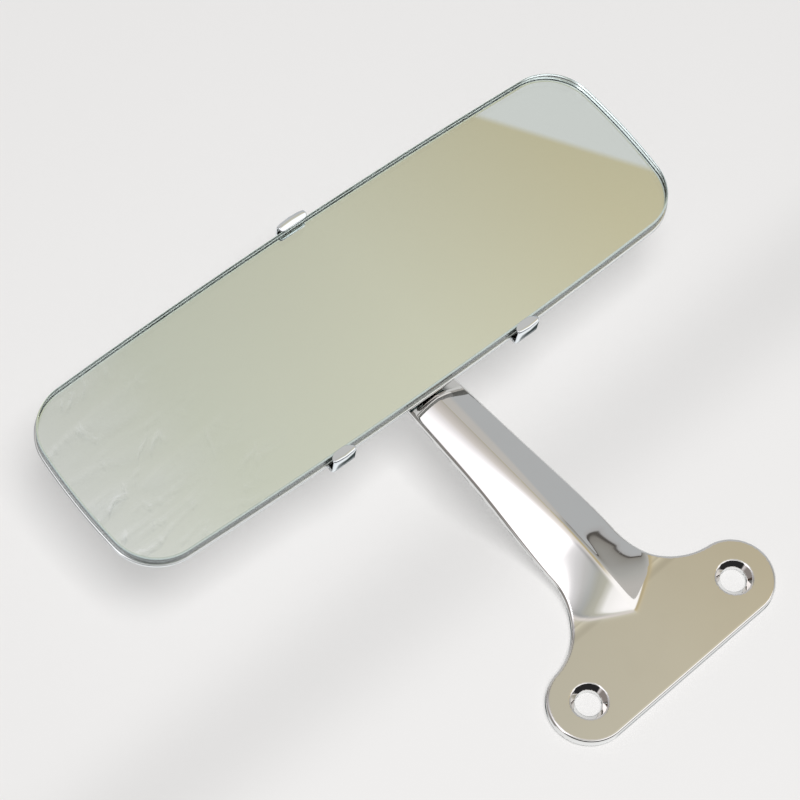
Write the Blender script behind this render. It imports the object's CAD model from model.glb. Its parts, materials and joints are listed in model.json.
"""Looks of the interior rearview mirror: chromed arm, ball joint and a clip-held glass in a pressed pan.

Shapes are worked out in millimetres and placed in metres. Head pieces are made in the head's own axes:
origin at the ball's centre, X along the mirror, Z towards its top edge and -Y out of the glass.
"""

import json
import math

import bmesh
import bpy
import numpy as np
from mathutils import Matrix, Vector


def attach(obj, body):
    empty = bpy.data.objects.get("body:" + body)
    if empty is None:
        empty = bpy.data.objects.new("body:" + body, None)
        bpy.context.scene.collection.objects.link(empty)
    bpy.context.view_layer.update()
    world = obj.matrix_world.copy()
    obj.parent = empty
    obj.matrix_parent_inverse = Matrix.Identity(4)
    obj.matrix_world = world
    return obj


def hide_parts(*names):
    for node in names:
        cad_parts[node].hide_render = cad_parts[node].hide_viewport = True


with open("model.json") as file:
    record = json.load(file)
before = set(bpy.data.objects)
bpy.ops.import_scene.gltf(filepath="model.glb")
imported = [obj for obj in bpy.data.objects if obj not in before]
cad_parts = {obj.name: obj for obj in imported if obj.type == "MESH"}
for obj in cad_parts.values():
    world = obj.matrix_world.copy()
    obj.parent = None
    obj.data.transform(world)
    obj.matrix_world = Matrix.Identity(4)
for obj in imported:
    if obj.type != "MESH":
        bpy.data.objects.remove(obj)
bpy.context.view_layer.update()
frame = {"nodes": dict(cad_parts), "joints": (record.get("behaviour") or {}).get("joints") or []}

MM = 0.001

# ---- camera ----
CAMERA_AZIMUTH = math.radians(21.48)
CAMERA_ELEVATION = math.radians(17.92)
CAMERA_ROLL = math.radians(135.35)
CAMERA_DISTANCE = 0.6726
CAMERA_AIM = Vector((0.0080, -0.010, -0.0876))
CAMERA_LENS = 120.9
SENSOR = 36.0

# ---- arm and foot, mm ----
HOLE_X = 25.0
HOLE_R = 3.3
SINK_R = 4.7
FOOT_T = 2.6
LOBE_R = 10.5
NECK_FILLET = 18.0
ARM_HALF_TOP = 10.7
HIP_Z = -9.6
WAIST_Z = -16.0
HIP_SLOPE = 0.4
RIDGE_RISE = 7.6
EDGE_T = 1.5
ARM_END_Z = -96.5
ARM_WALL = 1.8
EDGE_ROUND = 0.7
BORE_R = 2.15
PIN_R = 0.8
PIN_Z = ARM_END_Z + 4.5
PIN_HEIGHT = 4.65

# ---- ball joint, mm ----
BALL_R = 4.75
NECK_R = 2.2
SHANK_R = 2.0
COLLAR_R = 4.0
SOCKET_IN = 5.45
SHEET = 0.7
SOCKET_X = 11.0
SOCKET_Z = 4.5
SOCKET_CORNER = 3.5
REAR_PLATE_Y = -4.55
MOUTH = math.radians(50)

# ---- head, mm ----
HALF_W = 89.0
HALF_H = 28.8
LONG_R = 1800.0
SHORT_R = 170.0
CORNER_R = 14.0
GLASS_FRONT = -10.9
GLASS_BACK = -7.9
GLASS_INSET = 0.5
ARRIS = 0.25
PENCIL = 0.55
HOLD = 0.02
PAN_FLOOR = -7.0
PAN_BACK = -6.2
PAN_LIP = -7.65
RIM_W = 1.1
CLIP_X = 29.7
UPPER_REACH = (30.4, 27.7, 0.4)
LOWER_REACH = (29.9, 27.6, 0.75)
UPPER_HALF_WIDTH = 3.5
LOWER_HALF_WIDTH = 4.3
LENS_LIP = 2.0
BLUNT_LIP = 5.0
CLIP_FOOT_END = 21.7
CLIP_TAB_Y = -5.6
CLIP_LIP_Y = -11.85
CLIP_TIP_Y = -11.3
RIVET_R = 1.3


# ---------------------------------------------------------------- meshes
def unit(v):
    return v / np.linalg.norm(v, axis=-1, keepdims=True)


joint = {j["name"]: j for j in frame["joints"]}
BALL = np.array(joint["head_twist"]["pos_m"]) / MM
HEAD_Y = unit(np.array(joint["head_twist"]["axis"], float))
HEAD_X = unit(np.array([-HEAD_Y[2], 0.0, HEAD_Y[0]]))
HEAD_AXES = np.stack([HEAD_X, HEAD_Y, np.cross(HEAD_X, HEAD_Y)])


def on_head(points):
    """Points given in the head's axes, moved to the part's frame, still in mm."""
    return points @ HEAD_AXES + BALL


def on_ball(points):
    """Points given from the ball's centre in the part's own axes."""
    return points + BALL


def as_is(points):
    return points


def make_piece(name, points, faces, paints, place=as_is, paint_of_face=None, normals=None, sharp=35,
               closed=True):
    """A mesh object from points in mm and its faces. They are turned outwards if the surface is closed."""
    mesh = bpy.data.meshes.new(name)
    mesh.from_pydata((place(points) * MM).tolist(), [], faces)
    for paint in paints:
        mesh.materials.append(paint)
    if paint_of_face is not None:
        mesh.polygons.foreach_set("material_index", np.asarray(paint_of_face, np.int32))
    mesh.update()
    if closed:
        shell = bmesh.new()
        shell.from_mesh(mesh)
        bmesh.ops.recalc_face_normals(shell, faces=shell.faces)
        shell.to_mesh(mesh)
        shell.free()
    mesh.shade_smooth()
    if normals is None:
        mesh.set_sharp_from_angle(angle=math.radians(sharp))
    else:
        mesh.normals_split_custom_set_from_vertices((place(normals) - place(normals * 0)).tolist())
    piece = bpy.data.objects.new(name, mesh)
    bpy.context.scene.collection.objects.link(piece)
    return piece


def grid_faces(rows, columns):
    """Quads of a grid whose columns close on themselves."""
    i, j = np.meshgrid(np.arange(rows - 1), np.arange(columns), indexing="ij")
    k = (j + 1) % columns
    quads = np.stack([i * columns + j, i * columns + k, (i + 1) * columns + k, (i + 1) * columns + j], -1)
    return quads.reshape(-1, 4)


def rings_to_piece(name, rings, paints, place=as_is, paint_of_ring=None, sharp=35):
    """A closed surface through rings (count, points, 3); the first and last ring are capped with a point."""
    count, around, _ = rings.shape
    points = np.concatenate([rings.reshape(-1, 3), rings[:1].mean(1), rings[-1:].mean(1)])
    first, last = count * around, count * around + 1
    j = np.arange(around)
    k = (j + 1) % around
    low = np.stack([np.full(around, first), k, j], -1)
    high = np.stack([np.full(around, last), (count - 1) * around + j, (count - 1) * around + k], -1)
    faces = grid_faces(count, around).tolist() + low.tolist() + high.tolist()
    paint = None
    if paint_of_ring is not None:
        paint = np.concatenate([np.repeat(paint_of_ring, around), np.full(around, paint_of_ring[0]),
                                np.full(around, paint_of_ring[-1])])
    return make_piece(name, points, faces, paints, place, paint, sharp=sharp)


def turned(name, profile, axis, paints, place=as_is, centre=(0, 0, 0), around=72):
    """A turned piece: every (radius, height) of the profile swept in a circle round Z, Y or X."""
    radius, height = np.array(profile, float).T
    angle = np.linspace(0, 2 * np.pi, around, endpoint=False)
    a = radius[:, None] * np.cos(angle)
    b = radius[:, None] * np.sin(angle)
    h = np.broadcast_to(height[:, None], a.shape).copy()
    order = {"z": (a, b, h), "y": (b, h, a), "x": (h, a, b)}[axis]
    return rings_to_piece(name, np.stack(order, -1) + np.array(centre, float), paints, place)


def arc(centre, radius, start, end, steps):
    """Points on a circle in the plane of a profile, angles in degrees from the first axis."""
    angle = np.radians(np.linspace(start, end, steps))
    return [(centre[0] + radius * math.cos(t), centre[1] + radius * math.sin(t)) for t in angle]


def glide(stops, z):
    """Smooth curve through (z, value) stops: each span is a cubic whose end slopes are the mean of its
    neighbours' slopes, and outside the stops the value holds."""
    at, value = np.array(sorted(stops), float).T
    slope = np.diff(value) / np.diff(at)
    tangent = np.concatenate([[0.0], (slope[1:] + slope[:-1]) / 2, [0.0]])
    z = np.clip(z, at[0], at[-1])
    i = np.clip(np.searchsorted(at, z) - 1, 0, len(at) - 2)
    span = at[i + 1] - at[i]
    t = (z - at[i]) / span
    lift = value[i + 1] - value[i]
    ease = t * t * (3 - 2 * t)
    return value[i] + ease * lift + t * (1 - t) * ((1 - t) * tangent[i] - t * tangent[i + 1]) * span


# ---------------------------------------------------------------- solids as fields of distance
def both(a, b, r):
    """Inside both fields, with the edge between them rounded to radius r."""
    u = np.maximum(a + r, 0)
    v = np.maximum(b + r, 0)
    return np.minimum(np.maximum(a, b), -r) + np.hypot(u, v)


def either(a, b, r):
    """Inside either field, with a fillet of radius r where they meet."""
    return -both(-a, -b, r)


def without(a, b, r):
    return both(a, -b, r)


def net_of(field, low, high, pitch):
    """The zero surface of a field: one point in each cell of a grid that the surface crosses, at the mean of
    its crossings, then moved along the field's slope until it lies on the surface. Returns points, quads and
    the unit slope at each point."""
    axes = [np.arange(a, b + pitch, pitch) for a, b in zip(low, high)]
    value = field(*np.meshgrid(*axes, indexing="ij"))
    inside = value < 0
    cells = tuple(n - 1 for n in value.shape)

    def corner(array, i, j, k):
        return array[i:i + cells[0], j:j + cells[1], k:k + cells[2]]

    total = np.zeros(cells + (3,))
    count = np.zeros(cells)
    for axis in range(3):
        step = np.eye(3, dtype=int)[axis]
        sides = [s for s in np.ndindex(2, 2, 2) if s[axis] == 0]
        for side in sides:
            a = corner(value, *side)
            b = corner(value, *(np.array(side) + step))
            crossed = (a < 0) != (b < 0)
            share = np.where(crossed, a / np.where(crossed, a - b, 1), 0)
            for n in range(3):
                total[..., n] += np.where(crossed, side[n] + (share if n == axis else 0), 0)
            count += crossed
    live = count > 0
    index = np.full(cells, -1)
    index[live] = np.arange(live.sum())
    base = np.stack(np.nonzero(live), -1)
    points = (base + total[live] / count[live][:, None]) * pitch + np.array([a[0] for a in axes])
    quads = []
    for axis in range(3):
        u, v = (axis + 1) % 3, (axis + 2) % 3
        near = [slice(1, -1)] * 3
        near[axis] = slice(0, -1)
        far = list(near)
        far[axis] = slice(1, None)
        a, b = inside[tuple(near)], inside[tuple(far)]
        for crossed, flip in ((a & ~b, False), (~a & b, True)):
            at = np.stack(np.nonzero(crossed), -1)
            at[:, u] += 1
            at[:, v] += 1
            ring = []
            for du, dv in ((1, 1), (0, 1), (0, 0), (1, 0)):
                cell = at.copy()
                cell[:, u] -= du
                cell[:, v] -= dv
                ring.append(index[tuple(cell.T)])
            quad = np.stack(ring, -1)
            quads.append(quad[:, ::-1] if flip else quad)
    for _ in range(4):
        here, slope = slope_of(field, points)
        size = np.linalg.norm(slope, axis=1, keepdims=True)
        points = points - np.clip(here[:, None] / size, -pitch, pitch) * slope / size
    slope = slope_of(field, points)[1]
    return points, np.concatenate(quads), unit(slope)


def slope_of(field, points, step=0.02):
    """A field's value and its slope along each axis at the points, by central differences."""
    sides = [field(*(points + step * e).T) - field(*(points - step * e).T) for e in np.eye(3)]
    return field(*points.T), np.stack(sides, -1) / (2 * step)


def net_piece(name, field, low, high, pitch, paints, place=as_is):
    points, quads, normals = net_of(field, low, high, pitch)
    return make_piece(name, points, quads.tolist(), paints, place, normals=normals)


# ---------------------------------------------------------------- arm and foot
FILLET_X = ARM_HALF_TOP + NECK_FILLET
FILLET_Z = -math.sqrt((LOBE_R + NECK_FILLET) ** 2 - (FILLET_X - HOLE_X) ** 2)
TAPER = [(FILLET_Z, ARM_HALF_TOP), (-60, 8.7), (-87, 7.4), (ARM_END_Z, 6.9)]
LOWER_EDGE = [(-13, 0.0), (-16, 0.0), (-20, 0.9), (-27, 2.9), (-47, 4.4), (-87, 6.4), (-100, 7.0)]
RIDGE_HALF = [(HIP_Z, 0.1), (-40, 1.2), (-87, 2.3), (-100, 2.4)]
CREASE = [(-10, 0.5), (-20, 0.9), (-50, 1.6), (-90, 3.2)]
FLANK_FALL = [(-10, 0.21), (-17, 0.24), (-30, 0.38), (-60, 0.34), (-100, 0.34)]


def half_width(z):
    """Half the arm's width: the concave fillet out of the foot, then the taper to the arm's end."""
    fillet = FILLET_X - np.sqrt(np.maximum(0, NECK_FILLET ** 2 - (z - FILLET_Z) ** 2))
    return np.where(z > FILLET_Z, fillet, glide(TAPER, z))


def outline_field(x, z):
    """Distance to the outline seen from the front: a bar with round ends, joined to the arm by fillets."""
    side = np.abs(x)
    bar = np.hypot(np.maximum(side - HOLE_X, 0), z) - LOBE_R
    fillet = NECK_FILLET - np.hypot(side - FILLET_X, z - FILLET_Z)
    past_touch = ((side - HOLE_X) * -FILLET_Z + z * (FILLET_X - HOLE_X)) / (LOBE_R + NECK_FILLET)
    neck = np.maximum(np.maximum(fillet, past_touch), z + 0.3 * LOBE_R)
    arm = np.where(z > FILLET_Z, neck, side - half_width(z))
    return np.minimum(bar, arm)


def roof(x, z):
    """Height of the front skin over the foot's back face: a ridge that climbs out of the foot and levels
    off, with two flanks that fall away from its flat top, never lower than the foot or the arm's edge."""
    ridge = FOOT_T + RIDGE_RISE * np.tanh((HIP_Z - z) * HIP_SLOPE / RIDGE_RISE)
    past = np.abs(x) - glide(RIDGE_HALF, z)
    ridge = ridge - glide(FLANK_FALL, z) * (past + np.hypot(past, glide(CREASE, z))) / 2
    thinned = FOOT_T + (EDGE_T - FOOT_T) * np.clip((WAIST_Z - z) / 8, 0, 1)
    ledge = glide(LOWER_EDGE, z) + np.where(z > WAIST_Z, FOOT_T, thinned)
    return ledge + soft_rise(ridge - ledge, 0.14)


def soft_rise(value, softness):
    """Zero below zero and the value above, with a rounded knee."""
    return softness * np.logaddexp(0, value / softness)


def arm_field(x, y, z):
    height = -y
    outline = outline_field(x, z)
    top = (height - roof(x, z)) * 0.95
    floor = glide(LOWER_EDGE, z) - height
    body = both(both(outline, top, EDGE_ROUND), ARM_END_Z - z, 0.8)
    body = both(body, floor, 0.3)
    hollow = both(both(outline + ARM_WALL, top + ARM_WALL, 1.0), np.maximum(z + 21, -83 - z), 1.0)
    body = without(body, hollow, 0.2)
    boss = both(both(np.abs(x) - 6.6, np.abs(y + 6.3) - 2.7, 0.8), np.maximum(z + 84, ARM_END_Z - z), 0.5)
    body = either(body, boss, 0.6)
    bore = np.maximum(np.hypot(x, y - BALL[1]) - BORE_R, z + 77.5)
    body = without(body, bore, 0.25)
    pin_hole = np.hypot(y + PIN_HEIGHT, z - PIN_Z) - (PIN_R + 0.15)
    body = without(body, pin_hole, 0.1)
    from_hole = np.hypot(np.abs(x) - HOLE_X, z)
    sink = (from_hole - (SINK_R - (FOOT_T - height))) * math.sqrt(0.5)
    return without(without(body, from_hole - HOLE_R, 0.1), sink, 0.12)


def arm_casting(paint):
    low = (-HOLE_X - LOBE_R - 1, -11.2, ARM_END_Z - 1)
    high = (HOLE_X + LOBE_R + 1, 1, LOBE_R + 1)
    piece = net_piece("arm_casting", arm_field, low, high, 0.33, [paint])
    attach(piece, "arm")
    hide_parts("arm")


# ---------------------------------------------------------------- head: glass, pan and clips
def head_outline(inset, per_arc=(20, 26, 70)):
    """The head's outline moved inwards: four crowned sides and four round corners, each an arc about the
    same centre whatever the inset. Returns (points, 2) of X and Z, anticlockwise from the +X side."""
    long_c = HALF_H - LONG_R
    short_c = HALF_W - SHORT_R
    r1, r2 = LONG_R - CORNER_R, SHORT_R - CORNER_R
    apart = math.hypot(long_c, short_c)
    t = (r1 * r1 - r2 * r2 + apart * apart) / (2 * apart)
    h = math.sqrt(r1 * r1 - t * t)
    cx = (short_c * t - long_c * h) / apart
    cz = long_c + (-long_c * t - short_c * h) / apart
    a_short = math.atan2(cz, cx - short_c)
    a_long = math.atan2(cz - long_c, cx)
    side, corner, edge = per_arc
    right = [(short_c, 0, SHORT_R, 0, a_short, side), (cx, cz, CORNER_R, a_short, a_long, corner),
             (0, long_c, LONG_R, a_long, math.pi / 2, edge)]
    quarter = []
    for x0, z0, radius, start, end, steps in right:
        angle = np.linspace(start, end, steps, endpoint=False)
        reach = radius - inset
        quarter.append(np.stack([x0 + reach * np.cos(angle), z0 + reach * np.sin(angle)], -1))
    quarter = np.concatenate(quarter)
    mirrored = np.concatenate([[[0, HALF_H - inset]], quarter[:0:-1]]) * [-1, 1]
    half = np.concatenate([quarter, mirrored])
    return np.concatenate([half, -half])


def plate_rings(profile):
    """Rings of a flat head piece: every (inset, y) of the profile gives the outline at that depth. A negative
    inset is a share instead: the outline 3 mm in, shrunk to that share of its size."""
    rings = []
    for inset, y in profile:
        loop = head_outline(inset) if inset >= 0 else head_outline(3.0) * (-inset)
        rings.append(np.stack([loop[:, 0], np.full(len(loop), y), loop[:, 1]], -1))
    return np.array(rings)


def mirror_plate(glass, edge, silver):
    """A slab of glass with ground, bevelled edges, silvered on its back."""
    i = GLASS_INSET
    front = arc((i + PENCIL, GLASS_FRONT + PENCIL), PENCIL, 270, 180, 9)
    back = arc((i + ARRIS, GLASS_BACK - ARRIS), ARRIS, 180, 90, 5)
    profile = [(-0.02, GLASS_FRONT), (-0.5, GLASS_FRONT), (3.0, GLASS_FRONT),
               (i + PENCIL + HOLD, GLASS_FRONT),
               *front, *back, (i + ARRIS + HOLD, GLASS_BACK), (3.0, GLASS_BACK), (-0.5, GLASS_BACK),
               (-0.02, GLASS_BACK)]
    paints = np.array([0] * 4 + [1] * (len(front) + len(back) - 1) + [2] * 4)
    piece = rings_to_piece("mirror_plate", plate_rings(profile), [glass, edge, silver], on_head,
                           paint_of_ring=paints, sharp=30)
    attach(piece, "head")
    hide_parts("mirror_glass")


def pan(paint):
    """A shallow pressed tray: flat floor, a low rim with a rolled lip, and a soft outer corner."""
    lip = arc((0.35, PAN_LIP + 0.35), 0.35, 270, 180, 7)
    foot = arc((0.75, PAN_BACK - 0.75), 0.75, 180, 90, 9)
    profile = [(-0.02, PAN_FLOOR), (-0.5, PAN_FLOOR), (3.0, PAN_FLOOR), (RIM_W + 0.3, PAN_FLOOR),
               (RIM_W, PAN_FLOOR - 0.2), (RIM_W, PAN_LIP + 0.15), (RIM_W - 0.12, PAN_LIP),
               *lip, *foot, (0.78, PAN_BACK + 0.001), (3.0, PAN_BACK + 0.03), (-0.5, PAN_BACK + 0.03),
               (-0.02, PAN_BACK + 0.03)]
    piece = rings_to_piece("pan_shell", plate_rings(profile), [paint], on_head, sharp=60)
    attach(piece, "head")
    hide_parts("back_shell")


def clip_path(out, tip, turn):
    """The middle line of a clip's strip as (Z, Y): along the pan, out past the rim, up, and over the glass.
    out is the wall's outer face, tip the end of the lip, and turn the radius of the bend over the glass."""
    wall = out - SHEET / 2
    tab = [(z, CLIP_TAB_Y) for z in np.linspace(CLIP_FOOT_END, wall - 1.0, 8)]
    bend = arc((wall - 1.0, CLIP_TAB_Y - 1.0), 1.0, 90, 0, 9)[1:]
    rise = [(wall, y) for y in np.linspace(CLIP_TAB_Y - 1.0, CLIP_LIP_Y + turn, 12)[1:]]
    over = arc((wall - turn, CLIP_LIP_Y + turn), turn, 0, -100, 10)[1:]
    start = over[-1]
    lip = [(start[0] + t * (tip - start[0]), start[1] + t * (CLIP_TIP_Y - start[1]))
           for t in np.linspace(0, 1, 22)[1:]]
    return np.array(tab + bend + rise + over + lip)


def clip(name, node, x, side, widest, reach, blunt, paint):
    """A bent strip with a thin rounded-rectangle section carried along its path. Over the glass its width
    shrinks as the chord of a superellipse, rounder or blunter, and the strip bows out where it turns."""
    out, tip, turn = reach
    path = clip_path(out, tip, turn)
    ahead = np.gradient(path, axis=0)
    ahead = ahead / np.linalg.norm(ahead, axis=1, keepdims=True)
    across = np.stack([-ahead[:, 1], ahead[:, 0]], -1)
    run = np.clip((out - SHEET - path[:, 0]) / (out - SHEET - tip), 0, 1)
    on_lip = path[:, 1] < CLIP_TIP_Y + 0.01
    run = np.where(on_lip, run, 0)
    half = widest * np.clip(1 - run ** blunt, 0, 1) ** (1 / blunt)
    half = np.maximum(half, 0.05)
    foot_round = np.clip((path[:, 0] - CLIP_FOOT_END) / 1.5, 0, 1)
    rounded_off = half - 1.5 * (1 - np.sqrt(1 - (1 - foot_round) ** 2))
    half = np.where(path[:, 1] > CLIP_TAB_Y - 0.1, rounded_off, half)
    round_ = np.linspace(0, 2 * np.pi, 40, endpoint=False)
    ease = 0.24
    u = np.sign(np.cos(round_)) * np.abs(np.cos(round_)) ** ease
    v = np.sign(np.sin(round_)) * np.abs(np.sin(round_)) ** 0.55
    thick = SHEET / 2 * np.clip((1 - run) * 8 + 0.15, 0, 1)
    width = half[:, None] * u
    bow = np.clip((CLIP_TAB_Y - path[:, 1] - 1.5) / 3.5, 0, 1) * (1 - run)
    z = path[:, :1] + across[:, :1] * thick[:, None] * v + bow[:, None] * 0.45 * (1 - (width / widest) ** 2)
    y = path[:, 1:] + across[:, 1:] * thick[:, None] * v
    rings = np.stack([width, y, z], -1)
    if side < 0:
        rings = rings * [-1, 1, -1]
    rings = rings + [x, 0, 0]
    piece = rings_to_piece(name, rings, [paint], on_head, sharp=45)
    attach(piece, "head")
    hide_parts(node)


# ---------------------------------------------------------------- ball joint
def stud(paint):
    """Ball, waisted neck, collar, then a shank with a groove for the pin and a chamfered end."""
    groove = PIN_Z - BALL[2]
    face = ARM_END_Z - BALL[2]
    top = face - 1.45
    meet = math.degrees(math.asin(NECK_R / BALL_R))
    ball = [(BALL_R * math.sin(math.radians(t)), BALL_R * math.cos(math.radians(t)))
            for t in np.linspace(179.5, meet, 44)]
    neck = [(NECK_R, top - 1.9), (NECK_R + 0.15, top - 1.65), (NECK_R + 0.5, top - 1.5)]
    collar = [(COLLAR_R - 0.3, top - 1.15), (COLLAR_R, top - 0.9), (COLLAR_R, top - 0.25),
              (COLLAR_R - 0.25, top)]
    shank = [(SHANK_R, top), (SHANK_R, groove - 1.0), (1.35, groove - 0.75), (1.35, groove + 0.75),
             (SHANK_R, groove + 1.0), (SHANK_R, groove + 5.2), (SHANK_R - 0.5, groove + 5.7),
             (0.05, groove + 5.7)]
    piece = turned("ball_pin", ball + neck + collar + shank, "z", [paint], on_ball, around=80)
    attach(piece, "stud")
    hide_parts("ball_stud")


def ring_washer(name, node, inner, outer, low, high, body, paint, wave=None):
    """A flat ring with eased corners, its height moved round the ring where it is a wave washer."""
    e = 0.1
    profile = [(inner, low + e), (inner + e, low), (outer - e, low), (outer, low + e), (outer, high - e),
               (outer - e, high), (inner + e, high), (inner, high - e), (inner, low + e)]
    radius, height = np.array(profile).T
    angle = np.linspace(0, 2 * np.pi, 72, endpoint=False)
    h = height[:, None] + (0 * angle if wave is None else wave(angle))[None, :]
    rings = np.stack([radius[:, None] * np.cos(angle), radius[:, None] * np.sin(angle), h], -1)
    points = rings[:-1].reshape(-1, 3)
    count = len(profile) - 1
    faces = grid_faces(count + 1, 72) % (count * 72)
    piece = make_piece(name, points, faces.tolist(), [paint], on_ball)
    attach(piece, body)
    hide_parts(node)


def retaining_pin(paint):
    end = 6.0
    profile = [(0.02, -end), (PIN_R - 0.25, -end), (PIN_R, -end + 0.25), (PIN_R, end - 0.25),
               (PIN_R - 0.25, end), (0.02, end)]
    piece = turned("cross_pin", profile, "x", [paint], centre=(0, -PIN_HEIGHT, PIN_Z), around=40)
    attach(piece, "arm")
    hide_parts("retaining_pin")


def socket_plate_field(x, y, z, middle):
    """The four-cornered plate that both halves of the socket have, about its middle plane."""
    u = np.abs(x) - SOCKET_X
    v = np.abs(z) - SOCKET_Z
    flat = np.hypot(np.maximum(u, 0), np.maximum(v, 0)) + np.minimum(np.maximum(u, v), 0) - SOCKET_CORNER
    return both(flat, np.abs(y - middle) - SHEET / 2, 0.22)


def mouth_field(x, y, z):
    """The cone of space round the stud's neck."""
    return np.hypot(x, y) * math.cos(MOUTH) - z * math.sin(MOUTH)


def socket_cup_field(x, y, z):
    from_ball = np.sqrt(x * x + y * y + z * z)
    plate = socket_plate_field(x, y, z, REAR_PLATE_Y)
    dome = np.maximum(from_ball - (SOCKET_IN + SHEET), REAR_PLATE_Y - y)
    cup = either(plate, dome, 1.0)
    cup = np.maximum(cup, REAR_PLATE_Y - SHEET / 2 - y)
    cup = without(cup, from_ball - SOCKET_IN, 0.12)
    rivets = np.hypot(np.abs(x) - SOCKET_X, np.abs(z) - SOCKET_Z) - (RIVET_R + 0.2)
    cup = without(cup, rivets, 0.1)
    return without(cup, mouth_field(x, y, z), 0.2)


def socket_cup(paint):
    reach = SOCKET_IN + SHEET + 1
    low = (-SOCKET_X - SOCKET_CORNER - 1, REAR_PLATE_Y - 1, -SOCKET_Z - SOCKET_CORNER - 1)
    high = (SOCKET_X + SOCKET_CORNER + 1, reach, SOCKET_Z + SOCKET_CORNER + 1)
    piece = net_piece("socket_cup", socket_cup_field, low, high, 0.2, [paint], on_head)
    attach(piece, "head")
    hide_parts("socket_rear")


def rivet(name, node, x, z, sheet_back, paint):
    """A flat tail in the pan, a shank, and a domed head whose profile is an arc."""
    under = sheet_back + 0.25
    tail_front, tail_back = GLASS_BACK + 0.25, GLASS_BACK + 0.65
    tail = [(0.03, tail_front), (2.1, tail_front), (2.2, tail_front + 0.1), (2.2, tail_back - 0.05),
            (2.1, tail_back), (RIVET_R, tail_back)]
    dome = [(2.5 * math.cos(t), under + 0.25 + 0.8 * math.sin(t)) for t in np.radians(np.linspace(0, 89, 14))]
    profile = tail + [(RIVET_R, under), (2.3, under), (2.5, under + 0.12)] + dome
    piece = turned(name, profile, "y", [paint], on_head, centre=(x, 0, z), around=40)
    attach(piece, "head")
    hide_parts(node)


# ---------------------------------------------------------------- shader arithmetic
class Wire:
    """A number on a node socket, which Python's operators join into Math nodes."""

    def __init__(self, paint, socket):
        self.paint = paint
        self.socket = socket

    def __add__(self, other):
        return self.paint.math("ADD", self, other)

    def __sub__(self, other):
        return self.paint.math("SUBTRACT", self, other)

    def __rsub__(self, other):
        return self.paint.math("SUBTRACT", other, self)

    def __mul__(self, other):
        return self.paint.math("MULTIPLY", self, other)

    def __truediv__(self, other):
        return self.paint.math("DIVIDE", self, other)

    __radd__ = __add__
    __rmul__ = __mul__


class Paint:
    """A node tree being written: node() makes any node, and the rest are short names for common ones."""

    def __init__(self, tree):
        self.tree = tree
        tree.nodes.clear()

    def node(self, kind, settings=None, inputs=None, output=0):
        made = self.tree.nodes.new(kind)
        for key, value in (settings or {}).items():
            if key == "stops":
                self.set_stops(made.color_ramp, value)
            else:
                setattr(made, key, value)
        for key, value in (inputs or {}).items():
            self.feed(made.inputs[key], value)
        return Wire(self, made.outputs[output])

    def set_stops(self, ramp, stops):
        while len(ramp.elements) < len(stops):
            ramp.elements.new(0.5)
        for element, (place, colour) in zip(ramp.elements, stops):
            element.position = place
            element.color = (*colour, 1) if hasattr(colour, "__len__") else (colour, colour, colour, 1)

    def feed(self, socket, value):
        if isinstance(value, Wire):
            self.tree.links.new(value.socket, socket)
        else:
            socket.default_value = value

    def math(self, operation, a, b=0.0):
        return self.node("ShaderNodeMath", {"operation": operation}, {0: a, 1: b})

    def ease(self, value, low, high):
        """0 below low, 1 above high and smooth between."""
        return self.node("ShaderNodeMapRange", {"interpolation_type": "SMOOTHSTEP"},
                         {"Value": value, "From Min": low, "From Max": high})

    def blend(self, share, first, second):
        """A colour between two colours."""
        return self.node("ShaderNodeMix", {"data_type": "RGBA"}, {0: share, 6: first, 7: second}, output=2)

    def scale(self, colour, share):
        return self.node("ShaderNodeVectorMath", {"operation": "SCALE"}, {0: colour, "Scale": share})

    def tinted(self, colour, tint):
        return self.node("ShaderNodeVectorMath", {"operation": "MULTIPLY"}, {0: colour, 1: tint})

    def ramp(self, value, stops, interpolation="LINEAR"):
        made = self.node("ShaderNodeValToRGB", {"stops": stops}, {0: value})
        made.socket.node.color_ramp.interpolation = interpolation
        return made

    def place(self, scale=(1, 1, 1), turn=(0, 0, 0), shift=(0, 0, 0)):
        """Object coordinates in metres, moved, turned and scaled."""
        where = self.node("ShaderNodeTexCoord", output=3)
        return self.node("ShaderNodeMapping", None, {"Vector": where, "Scale": scale, "Rotation": turn,
                                                     "Location": shift})

    def noise(self, where, scale, detail=2.0, rough=0.5, warp=0.0):
        return self.node("ShaderNodeTexNoise", None, {"Vector": where, "Scale": scale, "Detail": detail,
                                                      "Roughness": rough, "Distortion": warp})

    def bump(self, height, strength, distance):
        return self.node("ShaderNodeBump", None, {
            "Strength": strength, "Distance": distance, "Height": height})

    def surface(self, shader):
        out = self.tree.nodes.new("ShaderNodeOutputMaterial")
        self.tree.links.new(shader.socket, out.inputs["Surface"])


def new_material(name):
    material = bpy.data.materials.new(name)
    material.use_nodes = True
    return material, Paint(material.node_tree)


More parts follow.
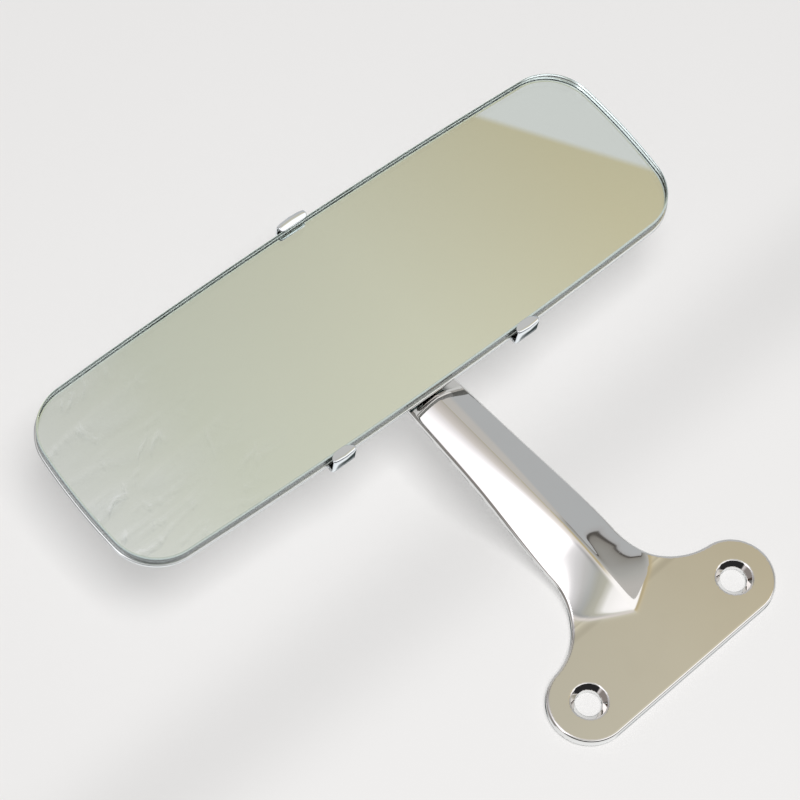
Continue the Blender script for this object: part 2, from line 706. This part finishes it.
def chrome(name, tint, shade, ripple, mist, sooted=None):
    """Bright plate: a clean mirror with a slow ripple from polishing, hairline scuffs and a thin mist. With
    sooted, the front of the last centimetre before that Z is darkened, where it lies under the head."""
    material, p = new_material(name)
    here = p.place()
    slow = p.noise(here, 45.0, detail=1.0)
    fine = p.noise(p.place(scale=(60, 60, 900), turn=(0.3, 0.5, 0.2)), 1.6, detail=3.0, rough=0.6)
    scuff = p.ease(fine, 0.66, 0.74)
    cloud = p.ease(p.noise(here, 130.0, detail=3.0), 0.42, 0.8)
    colour = p.blend(cloud * 0.5, tint, shade)
    if sooted is not None:
        x, _, z = split_axes(p, p.node("ShaderNodeTexCoord", output=3))
        past = (sooted + 0.0132 - z - x * x * 10.0) / 0.003
        bands = p.ramp(past, [
            (0.0, (0.02, 0.022, 0.022)), (0.10, (0.06, 0.09, 0.09)), (0.36, (0.04, 0.06, 0.06)),
            (0.42, (0.40, 0.41, 0.41)), (0.50, (0.010, 0.010, 0.011))])
        _, facing, _ = split_axes(p, p.node("ShaderNodeTexCoord", output=1))
        colour = p.blend(p.ease(past, -0.05, 0.0) * p.ease(0.0 - facing, 0.25, 0.45), colour, bands)
    rough = 0.025 + cloud * mist + scuff * 0.05
    height = p.bump(slow, ripple, 0.0006)
    p.surface(p.node("ShaderNodeBsdfPrincipled", None, {
        "Base Color": colour, "Metallic": 1.0, "Roughness": rough, "Normal": height}))
    return material


def clear_glass():
    """Float glass with the faintest wiped haze on its face, in long strokes towards one end."""
    material, p = new_material("float_glass")
    x, _, z = split_axes(p, p.node("ShaderNodeTexCoord", output=3))
    strokes = p.noise(p.place(scale=(30, 30, 150), turn=(0, 0.7, 0)), 1.0, detail=4.0, rough=0.62, warp=0.6)
    threads = p.math("ABSOLUTE", p.noise(p.place(scale=(60, 60, 60)), 1.0, detail=2.0, warp=1.2) - 0.5)
    lines = (1 - p.ease(threads, 0.004, 0.02)) * p.ease(strokes, 0.45, 0.6)
    towards_end = p.ease(x + 0.3 * z, 0.0, 0.06)
    wiped = (p.ease(strokes, 0.42, 0.75) * 0.16 + lines * 0.16) * towards_end
    glass = p.node("ShaderNodeBsdfPrincipled", None, {
        "Base Color": (0.985, 0.995, 0.985, 1), "Roughness": 0.0, "IOR": 1.52, "Transmission Weight": 1.0})
    haze = p.node("ShaderNodeBsdfPrincipled", None, {
        "Base Color": (0.9, 0.92, 0.93, 1), "Roughness": 0.6, "IOR": 1.3})
    p.surface(p.node("ShaderNodeMixShader", None, {0: wiped, 1: glass, 2: haze}))
    return material


def split_axes(p, vector):
    made = p.tree.nodes.new("ShaderNodeSeparateXYZ")
    p.feed(made.inputs[0], vector)
    return [Wire(p, s) for s in made.outputs]


def ground_edge():
    """The glass's ground edge: green in its depth, satin, with fine grinding marks along it."""
    material, p = new_material("glass_edge")
    marks = p.noise(p.place(scale=(1, 60, 1)), 320.0, detail=3.0)
    colour = p.blend(marks, (0.66, 0.77, 0.73, 1), (0.78, 0.86, 0.83, 1))
    rough = 0.02 + marks * 0.06
    p.surface(p.node("ShaderNodeBsdfPrincipled", None, {
        "Base Color": colour, "Roughness": rough, "IOR": 1.52, "Transmission Weight": 0.85}))
    return material


def silver():
    """Silvering behind the glass, very slightly warm, with a slow unevenness."""
    material, p = new_material("silvering")
    cloud = p.noise(p.place(), 22.0, detail=2.0)
    colour = p.blend(cloud, (0.885, 0.93, 0.925, 1), (0.905, 0.95, 0.945, 1))
    p.surface(p.node("ShaderNodeBsdfPrincipled", None, {
        "Base Color": colour, "Metallic": 1.0, "Roughness": 0.0}))
    return material


def plated_steel(name, light, dark, rough):
    """Zinc-plated steel: soft grain, pale bloom and a little bump."""
    material, p = new_material(name)
    here = p.place()
    bloom = p.ease(p.noise(here, 220.0, detail=4.0, rough=0.6), 0.35, 0.7)
    grain = p.noise(p.place(scale=(1, 1, 8)), 900.0, detail=2.0)
    colour = p.blend(bloom, dark, light)
    p.surface(p.node("ShaderNodeBsdfPrincipled", None, {
        "Base Color": colour, "Metallic": 1.0, "Roughness": rough + grain * 0.14,
        "Normal": p.bump(grain, 0.12, 0.0001)}))
    return material


def nylon():
    material, p = new_material("liner_nylon")
    cloud = p.noise(p.place(), 260.0, detail=3.0)
    colour = p.blend(cloud, (0.80, 0.77, 0.68, 1), (0.88, 0.86, 0.79, 1))
    p.surface(p.node("ShaderNodeBsdfPrincipled", None, {
        "Base Color": colour, "Roughness": 0.38 + cloud * 0.1, "Normal": p.bump(cloud, 0.15, 0.0001)}))
    return material


def felt():
    """Thin felt: mottled grey fibres that stand in a fuzzy relief."""
    material, p = new_material("pad_felt")
    fibre = p.noise(p.place(), 1400.0, detail=5.0, rough=0.7, warp=1.5)
    colour = p.blend(fibre, (0.10, 0.095, 0.09, 1), (0.34, 0.33, 0.31, 1))
    p.surface(p.node("ShaderNodeBsdfPrincipled", None, {
        "Base Color": colour, "Roughness": 0.9, "Normal": p.bump(fibre, 0.6, 0.0003)}))
    return material


# ---------------------------------------------------------------- stage, light and camera
STAGE_GAP = 0.0006
STAGE_DROP = 0.022


def stage_sheet():
    """A pale sheet close behind the foot. It steps back behind the head, along a smooth S from one level
    to the other, so that the head can swing clear of it."""
    half = 3.0
    steps = np.concatenate([
        np.linspace(-half, -0.16, 12), np.linspace(-0.15, 0.05, 81), np.linspace(0.06, half, 12)])
    x, z = np.meshgrid(np.array([-half, -0.3, 0, 0.3, half]), steps, indexing="ij")
    t = np.clip((-0.022 - z) / 0.062, 0, 1)
    y = STAGE_GAP + STAGE_DROP * t * t * t * (t * (6 * t - 15) + 10)
    points = np.stack([x, y, z], -1).reshape(-1, 3) / MM
    columns = len(steps)
    i, j = np.meshgrid(np.arange(4), np.arange(columns - 1), indexing="ij")
    a = i * columns + j
    faces = np.stack([a, a + columns, a + columns + 1, a + 1], -1).reshape(-1, 4)
    sheet = make_piece("backdrop", points, faces.tolist(), [stage_paint()], sharp=180, closed=False)


def stage_paint():
    """Pale paper, seen only from its front, and clear to every ray but the camera's."""
    material, p = new_material("backdrop_paper")
    path = p.tree.nodes.new("ShaderNodeLightPath")
    seen = Wire(p, path.outputs["Is Camera Ray"])
    back = p.node("ShaderNodeNewGeometry", output=6)
    paper = p.node("ShaderNodeBsdfDiffuse", None, {"Color": (0.42, 0.414, 0.412, 1)})
    glow = p.node("ShaderNodeEmission", None, {"Color": (1.0, 0.992, 0.98, 1), "Strength": 0.42})
    lit_paper = p.node("ShaderNodeAddShader", None, {0: paper, 1: glow})
    clear = p.node("ShaderNodeBsdfTransparent")
    p.surface(p.node("ShaderNodeMixShader", None, {0: seen * (1 - back), 1: clear, 2: lit_paper}))
    return material


def spot(p, towards, centre, outer, inner):
    """1 near a direction and 0 away from it; outer and inner are cosines of the angles it fades between."""
    x, y, z = split_axes(p, towards)
    return p.ease(x * centre[0] + y * centre[1] + z * centre[2], outer, inner)


def studio():
    """What the chrome and the glass see, by direction. In front of the part, lean_x and lean_z are how far a
    direction leans along X and Z for each unit towards -Y."""
    world = bpy.data.worlds.new("studio")
    bpy.context.scene.world = world
    world.use_nodes = True
    world.cycles.sampling_method = "NONE"
    p = Paint(world.node_tree)
    towards = p.node("ShaderNodeTexCoord", output=0)
    x, y, z = split_axes(p, towards)
    depth = p.math("MAXIMUM", 0.0 - y, 0.03)
    lean_x = x / depth
    lean_z = z / depth
    wall = p.ramp((lean_x + 0.60) / 0.90, [
        (0.00, (0.236, 0.217, 0.145)), (0.11, (0.269, 0.252, 0.178)), (0.22, (0.300, 0.300, 0.243)),
        (0.33, (0.288, 0.298, 0.259)), (0.39, (0.320, 0.327, 0.316)), (0.50, (0.37, 0.375, 0.37)),
        (0.63, (0.43, 0.44, 0.44)), (0.77, (0.57, 0.60, 0.64)), (0.90, (0.80, 0.85, 0.91))])
    lit = p.math("MINIMUM", p.math("MAXIMUM", 1.0 + 1.5 * (lean_z + 0.25), 0.35), 1.25)
    wall = p.scale(wall, 2.0 * lit)
    wall = p.blend(p.ease(lean_z, 0.22, 0.47), wall, (1.27, 1.35, 1.40, 1))
    flank = p.scale(p.ramp((lean_z + 0.10) / 0.80, [
        (0.00, (0.70, 0.75, 0.80)), (0.13, (0.66, 0.70, 0.75)), (0.24, (0.42, 0.45, 0.48)),
        (0.33, (0.33, 0.355, 0.37)), (0.42, (0.29, 0.32, 0.33)), (0.51, (0.26, 0.28, 0.26)),
        (0.60, (0.29, 0.31, 0.28)), (0.66, (0.41, 0.44, 0.43)), (0.70, (0.56, 0.60, 0.62)),
        (0.90, (0.68, 0.72, 0.76))]), 2.0)
    shade = (1 - p.ease(lean_x, 0.02, 0.22)) * (1 - p.ease(lean_z, 0.20, 0.33))
    flank = p.scale(flank, 1 - 0.32 * shade)
    wall = p.blend(p.ease(lean_x, -0.24, 0.06) * p.ease(lean_z, -0.02, 0.07), wall, flank)
    side = 0.834 * (lean_x + 0.485) + 0.551 * (lean_z + 0.289)
    beyond = 1 - p.ease(side, -0.002, 0.002)
    ripple = p.noise(towards, 9.0, detail=1.0) - 0.5
    climb = 0.22 * p.math("MINIMUM", lean_x + 1.95, 0.65)
    steep = 0.35 * p.math("MINIMUM", p.math("MAXIMUM", lean_x + 1.58, 0.0), 0.28)
    bank = lean_z + 0.07 - climb - steep + p.math("MAXIMUM", lean_x + 1.2, 0.0) + 0.05 * ripple
    far_side = p.ramp((bank + 0.05) / 0.50, [
        (0.00, (0.53, 0.59, 0.63)), (0.07, (0.50, 0.54, 0.57)), (0.09, (0.10, 0.10, 0.095)),
        (0.115, (0.11, 0.11, 0.105)), (0.14, (0.29, 0.30, 0.29)), (0.20, (0.34, 0.36, 0.35)),
        (0.40, (0.41, 0.44, 0.44)), (0.66, (0.50, 0.54, 0.54)), (1.00, (0.60, 0.63, 0.63))])
    near_line = p.ease(lean_x, -1.05, -0.75) * (1 - p.ease(lean_z, -0.17, -0.09))
    far_wall = p.blend(near_line, far_side, (0.625, 0.653, 0.652, 1))
    front = p.blend(beyond, wall, far_wall)
    table = p.blend(p.ease(z, -0.9, 0.3), (0.77, 0.795, 0.81, 1), (1.03, 1.07, 1.09, 1))
    ground = p.ease(x, 0.40, 0.56) * (1 - p.ease(z, -0.31, -0.23))
    floor = p.blend(p.ease(z, -0.9, -0.3), (0.60, 0.595, 0.58, 1), (0.30, 0.298, 0.29, 1))
    table = p.blend(ground, table, floor)
    table = p.blend(spot(p, towards, (-0.36, 0.88, -0.28), 0.84, 0.95), table, (0.05, 0.065, 0.065, 1))
    front = p.tinted(front, (1.05, 1.0, 0.975))
    seen = p.blend(p.ease(y, -0.06, 0.0), front, table)
    skirting = p.ease(y, -0.12, -0.06) * (1 - p.ease(y, -0.03, 0.04))
    seen = p.blend(skirting * 0.8, seen, (0.20, 0.195, 0.19, 1))
    ahead = 1 - p.ease(y, -0.12, -0.04)
    overhead = p.ease(lean_z + lean_x, 1.15, 1.7) * p.ease(lean_z, -0.05, 0.3) * ahead
    seen = p.blend(overhead, seen, (0.03, 0.03, 0.032, 1))
    beside = p.ease(lean_x, 1.3, 1.9) * (1 - p.ease(lean_z, -0.05, 0.3)) * ahead
    seen = p.blend(beside * 0.65, seen, (0.17, 0.125, 0.095, 1))
    seen = p.blend(spot(p, towards, (0.30, -0.03, -0.95), 0.955, 0.985), seen, (0.06, 0.03, 0.018, 1))
    path = p.tree.nodes.new("ShaderNodeLightPath")
    direct = Wire(p, path.outputs["Is Camera Ray"])
    soft = Wire(p, path.outputs["Is Diffuse Ray"])
    seen = p.blend(direct, seen, (0.845, 0.838, 0.825, 1))
    seen = p.blend(soft, seen, (0.20, 0.20, 0.20, 1))
    background = p.node("ShaderNodeBackground", None, {"Color": seen, "Strength": 1.0})
    out = p.tree.nodes.new("ShaderNodeOutputWorld")
    p.tree.links.new(background.socket, out.inputs["Surface"])


def softbox(name, towards, distance, size, power):
    """A square lamp that faces the part from a direction, and that chrome and glass don't see."""
    data = bpy.data.lights.new(name, "AREA")
    data.shape = "SQUARE"
    data.size = size
    data.energy = power
    lamp = bpy.data.objects.new(name, data)
    bpy.context.scene.collection.objects.link(lamp)
    towards = Vector(towards).normalized()
    lamp.location = CAMERA_AIM + towards * distance
    lamp.rotation_mode = "QUATERNION"
    lamp.rotation_quaternion = towards.to_track_quat("Z", "Y")
    lamp.visible_glossy = False
    lamp.visible_transmission = False


def camera():
    data = bpy.data.cameras.new("view")
    data.lens = CAMERA_LENS
    data.sensor_width = SENSOR
    data.clip_start = 0.01
    data.clip_end = 20
    back = Vector((math.sin(CAMERA_AZIMUTH) * math.cos(CAMERA_ELEVATION),
                   -math.cos(CAMERA_AZIMUTH) * math.cos(CAMERA_ELEVATION), math.sin(CAMERA_ELEVATION)))
    right = (-back).cross(Vector((0, 0, 1))).normalized()
    up = right.cross(-back)
    turned_right = math.cos(CAMERA_ROLL) * right + math.sin(CAMERA_ROLL) * up
    turned_up = math.cos(CAMERA_ROLL) * up - math.sin(CAMERA_ROLL) * right
    eye = bpy.data.objects.new("view", data)
    bpy.context.scene.collection.objects.link(eye)
    axes = Matrix((turned_right, turned_up, back)).transposed().to_4x4()
    eye.matrix_world = Matrix.Translation(CAMERA_AIM + back * CAMERA_DISTANCE) @ axes
    bpy.context.scene.camera = eye


# ---------------------------------------------------------------- assembly
camera()
studio()
softbox("key", (0.10, -0.96, 0.22), 1.3, 0.5, 14.0)
softbox("fill", (0.5, -0.8, 0.4), 1.5, 1.0, 2.0)
softbox("back", (0.5, 0.9, 0.5), 1.2, 0.9, 10.0)
bpy.context.scene.view_settings.view_transform = "Standard"
stage_sheet()

arm_casting(chrome("arm_plate", (0.735, 0.705, 0.68, 1), (0.71, 0.68, 0.655, 1), 0.04, 0.015,
                   sooted=ARM_END_Z * MM))
pan(chrome("pan_plate", (0.74, 0.74, 0.73, 1), (0.70, 0.70, 0.69, 1), 0.04, 0.03))
mirror_plate(clear_glass(), ground_edge(), silver())

clip_plate = chrome("clip_plate", (0.76, 0.77, 0.78, 1), (0.72, 0.73, 0.74, 1), 0.05, 0.04)
clip("lip_clip_left", "clip_top_left", -CLIP_X, 1, UPPER_HALF_WIDTH, UPPER_REACH, LENS_LIP, clip_plate)
clip("lip_clip_right", "clip_top_right", CLIP_X, 1, UPPER_HALF_WIDTH, UPPER_REACH, LENS_LIP, clip_plate)
clip("lip_clip_bottom", "clip_bottom", 0.0, -1, LOWER_HALF_WIDTH, LOWER_REACH, BLUNT_LIP, clip_plate)

turned_steel = plated_steel("turned_steel", (0.66, 0.66, 0.65, 1), (0.52, 0.52, 0.52, 1), 0.16)
pressed_steel = plated_steel("pressed_steel", (0.60, 0.60, 0.59, 1), (0.46, 0.46, 0.46, 1), 0.24)
rivet_steel = plated_steel("rivet_steel", (0.68, 0.68, 0.67, 1), (0.55, 0.55, 0.55, 1), 0.2)
stud(turned_steel)
retaining_pin(turned_steel)
washer_top = ARM_END_Z - BALL[2] - 0.15
ring_washer("plain_ring", "thrust_washer", 2.15, 4.4, washer_top - 0.5, washer_top, "arm",
            turned_steel)
ring_washer("wave_ring", "wave_washer", 2.15, 3.9, washer_top - 1.0, washer_top - 0.7, "stud",
            pressed_steel, wave=lambda angle: 0.09 * np.cos(3 * angle))
socket_cup(pressed_steel)

for number, (sx, sz) in enumerate([(-1, -1), (1, -1), (-1, 1), (1, 1)], 1):
    rivet(f"dome_rivet_{number}", f"socket_rivet_{number}", sx * SOCKET_X, sz * SOCKET_Z, -4.2, rivet_steel)
for number, (x, side) in enumerate([(-CLIP_X, 1), (CLIP_X, 1), (0.0, -1)], 1):
    rivet(f"clip_dome_{number}", f"clip_rivet_{number}", x, side * (HALF_H - 5), -5.25, rivet_steel)

for node, paint in {"ball_liner": nylon(), "backing_pad": felt(), "socket_front": pressed_steel}.items():
    mesh = frame["nodes"][node].data
    mesh.materials.clear()
    mesh.materials.append(paint)
